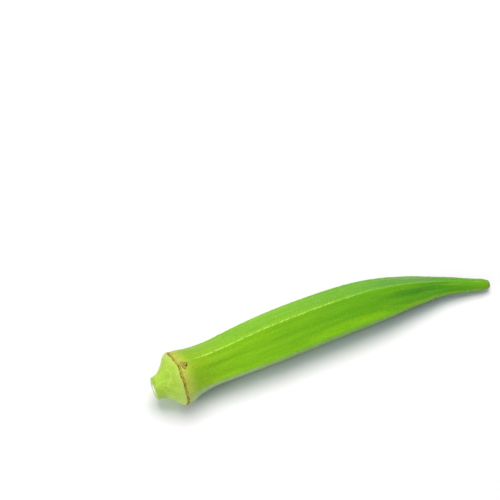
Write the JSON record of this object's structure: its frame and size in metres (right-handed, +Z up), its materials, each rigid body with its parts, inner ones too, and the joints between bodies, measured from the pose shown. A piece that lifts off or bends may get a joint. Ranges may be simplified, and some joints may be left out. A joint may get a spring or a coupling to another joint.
{
  "type": "okra pod",
  "caption": "Whole okra pod lying on its side: a ridged green seed capsule with a cut stem and cap at one end and a curved, tapering beak at the other.",
  "frame": {"origin": "middle of the pod's bounding box, at the floor it lies on", "axes": "+X along the pod from the cut stem towards the tip of the beak, +Z up through the top ridge, -Y the side towards which the beak curves"},
  "size_m": [0.129, 0.0206, 0.0192],
  "materials": {
    "pod_skin": "satin, finely downy fresh green skin",
    "calyx_scar": "dry, rough, corky brown",
    "cut_stem": "damp, fibrous pale green cut",
    "down": "short, stiff, see-through pale hairs"
  },
  "bodies": {
    "root": {"okra_pod": "pod_skin"}
  },
  "joints": []
}
